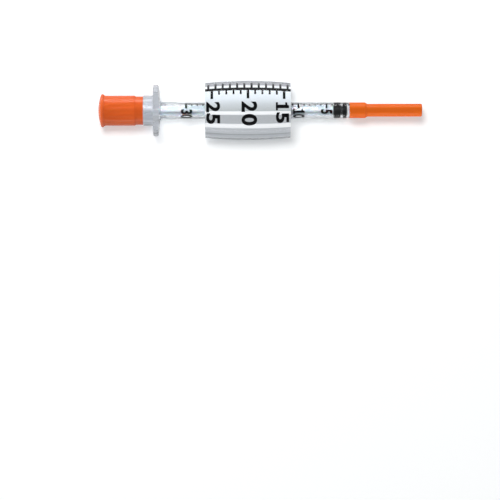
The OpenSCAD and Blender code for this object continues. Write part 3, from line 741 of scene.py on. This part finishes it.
# Enlarged numbers: offset from the mark and height, along the axis, then each figure with its angle and width. The
# enlarged scale's middle mark stands a little off the lens's middle
ENLARGED_BOLD, ENLARGED_SHIFT, MIDDLE_UNIT = 0.034, 0.03, 20
ENLARGED_NUMBERS = {
    15: (-0.45, 3.5, [("1", 8.8, 2.15), ("5", -15.9, 2.95)]),
    20: (0.37, 4.15, [("2", 7.9, 2.85), ("0", -19.6, 3.3)]),
    25: (0.35, 3.7, [("2", 7.5, 2.8), ("5", -18.1, 2.95)]),
}


def enlarged_numerals():
    """The enlarged numbers on the film."""
    target = bpy.data.objects["enlarged_scale_sheet"]
    for value, (offset, tall, figures) in ENLARGED_NUMBERS.items():
        x = LENS_MID_X + ENLARGED_SHIFT - (value - MIDDLE_UNIT) * LARGE_UNIT + offset
        name = f"enlarged_numeral_{value}_print"
        piece = print_number(name, x, figures, LENS_END_R, tall, ENLARGED_BOLD, target)
        dress(piece, INK, "magnifier", "black_ink", f"enlarged_numeral_{value}")


def softened_mouldings():
    """Needle shield, plunger rod and clip, with the small radii of their moulds."""
    shield = softened("needle_shield_moulding", "needle_shield", SHIELD_EDGE, SHIELD_SMOOTH)
    dress(shield, SHIELD_ORANGE, "needle_shield", "orange_plastic", "needle_shield")
    rod = softened("plunger_rod_moulding", "plunger_rod", ROD_EDGE)
    dress(rod, PLUNGER_WHITE, "plunger", "rod_plastic", "plunger_rod")
    clip = softened("magnifier_clip_moulding", "magnifier_clip", CLIP_EDGE)
    dress(clip, CLIP_CLEAR, "magnifier", "clear_plastic", "magnifier_clip")


def finish_cad_nodes():
    """Materials for the two CAD nodes that stay as they are. The others are replaced, and take the ink's."""
    kept = {"needle_cannula": STEEL, "needle_bond": ADHESIVE}
    for name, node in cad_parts.items():
        material = kept.get(name, INK)
        for i in range(len(node.material_slots)):
            node.material_slots[i].material = material


barrel_moulding()
cap_moulding()
stopper_moulding()
scale_film()
enlarged_line()
magnifier_lens()
softened_mouldings()
scale_print()
barrel_numerals()
enlarged_numerals()
finish_cad_nodes()


# Studio

FLOOR_SIZE = 3
# The table's own light, for the eye and for what is seen through plastic, its slightly cool tint, and its paint
EYE_GLOW, PLASTIC_GLOW = 0.38, 0.2
GLOW_TINT, PAINT = (0.95, 0.985, 1, 1), (0.9, 0.9, 0.9, 1)
# The room's light at the table's height and overhead, from this height on, and the least seen through plastic
ROOM_LOW, ROOM_HIGH, ROOM_TOP, ROOM_IN_PLASTIC = 0.6, 0.06, 0.8, 0.75


def add_floor():
    """White table: it keeps the shadow and adds a little light of its own, for the eye, to read as white."""
    bpy.ops.object.select_all(action="DESELECT")
    bpy.ops.mesh.primitive_plane_add(size=FLOOR_SIZE)
    floor = bpy.context.object
    floor.name = "floor"
    material, tree = new_material("white_table")
    path = add(tree, "ShaderNodeLightPath")
    lift = add(tree, "ShaderNodeMath", {1: EYE_GLOW}, {0: (path, "Is Camera Ray")}, operation="MULTIPLY")
    lift = add(tree, "ShaderNodeMath", {1: PLASTIC_GLOW}, {0: (path, "Is Transmission Ray"), 2: (lift, 0)},
               operation="MULTIPLY_ADD")
    glow = add(tree, "ShaderNodeEmission", {"Color": GLOW_TINT}, {"Strength": (lift, 0)})
    paint = add(tree, "ShaderNodeBsdfDiffuse", {"Color": PAINT})
    both = add(tree, "ShaderNodeAddShader", links={0: (paint, 0), 1: (glow, 0)})
    finish_material(tree, both)
    floor.data.materials.append(material)


def add_world():
    """Room light that is strong near the table and weak overhead. To the eye, past everything, it is white."""
    world = bpy.data.worlds.new("room")
    bpy.context.scene.world = world
    world.use_nodes = True
    tree = world.node_tree
    tree.nodes.clear()
    path = add(tree, "ShaderNodeLightPath")
    place = add(tree, "ShaderNodeTexCoord")
    parts = add(tree, "ShaderNodeSeparateXYZ", links={"Vector": (place, "Generated")})
    dome = add(tree, "ShaderNodeMapRange", {"From Min": 0.0, "From Max": ROOM_TOP, "To Min": ROOM_LOW,
               "To Max": ROOM_HIGH}, {"Value": (parts, "Z")})
    seen = add(tree, "ShaderNodeMath", {1: ROOM_IN_PLASTIC}, {0: (path, "Is Transmission Ray")},
               operation="MULTIPLY")
    seen = add(tree, "ShaderNodeMath", links={0: (dome, 0), 1: (seen, 0)}, operation="MAXIMUM")
    strength = add(tree, "ShaderNodeMix", {"B": 1.0}, {"Factor": (path, "Is Camera Ray"), "A": (seen, 0)},
                   data_type="FLOAT")
    back = add(tree, "ShaderNodeBackground", {"Color": (1, 1, 1, 1)}, {"Strength": (strength, 0)})
    add(tree, "ShaderNodeOutputWorld", links={"Surface": (back, 0)})


def add_softbox(name, azimuth, elevation, distance, size, power, shines=True, at=0):
    """Softbox that faces the syringe at a place along its axis, in mm. Its distance and size are in metres."""
    a, e = math.radians(azimuth), math.radians(elevation)
    away = Vector((math.sin(a) * math.cos(e), math.cos(a) * math.cos(e), math.sin(e)))
    bpy.ops.object.light_add(type="AREA", location=away * distance + Vector((at * MM, 0, 0)))
    lamp = bpy.context.object
    lamp.name = name
    lamp.rotation_mode = "QUATERNION"
    lamp.rotation_quaternion = away.to_track_quat("Z", "Y")
    lamp.data.shape = "RECTANGLE"
    lamp.data.size, lamp.data.size_y = size
    lamp.data.energy = power
    lamp.visible_glossy = shines
    lamp.visible_camera = False
    return lamp


def keep_for(piece, lamp, use):
    """Keeps a lamp for one piece, to give it a highlight or to light it without one."""
    lamp.visible_diffuse = use == "light"
    lamp.visible_glossy = use == "highlight"
    lamp.light_linking.receiver_collection = bpy.data.collections.new(lamp.name)
    lamp.light_linking.receiver_collection.objects.link(bpy.data.objects[piece])


add_floor()
add_world()
add_softbox("key", azimuth=-20, elevation=69, distance=0.8, size=(0.25, 0.25), power=3.7, shines=False)
add_softbox("strip", azimuth=0, elevation=6, distance=0.6, size=(0.9, 0.1), power=1.4)
add_softbox("side", azimuth=-90, elevation=12, distance=0.6, size=(0.4, 0.1), power=0.9)
add_softbox("rim", azimuth=180, elevation=3, distance=0.8, size=(0.9, 0.09), power=0.9)

# Lamps kept to one piece, for its highlight or for its lower side; their places allow for the camera's own place
collar_light = add_softbox("collar_light", azimuth=0, elevation=60, distance=0.3, size=(0.0036, 0.1), power=0.22,
                           at=-40.1)
keep_for("barrel_moulding", collar_light, "highlight")
tube_light = add_softbox("tube_light", azimuth=0, elevation=43, distance=0.4, size=(0.076, 0.2), power=0.5, at=1.4)
keep_for("barrel_moulding", tube_light, "highlight")
cap_light = add_softbox("cap_light", azimuth=0, elevation=2, distance=0.4, size=(0.3, 0.024), power=0.5, at=-36)
keep_for("plunger_cap_moulding", cap_light, "highlight")
shield_light = add_softbox("shield_light", azimuth=180, elevation=3, distance=0.4, size=(0.12, 0.05), power=0.75,
                           at=33)
keep_for("needle_shield_moulding", shield_light, "light")
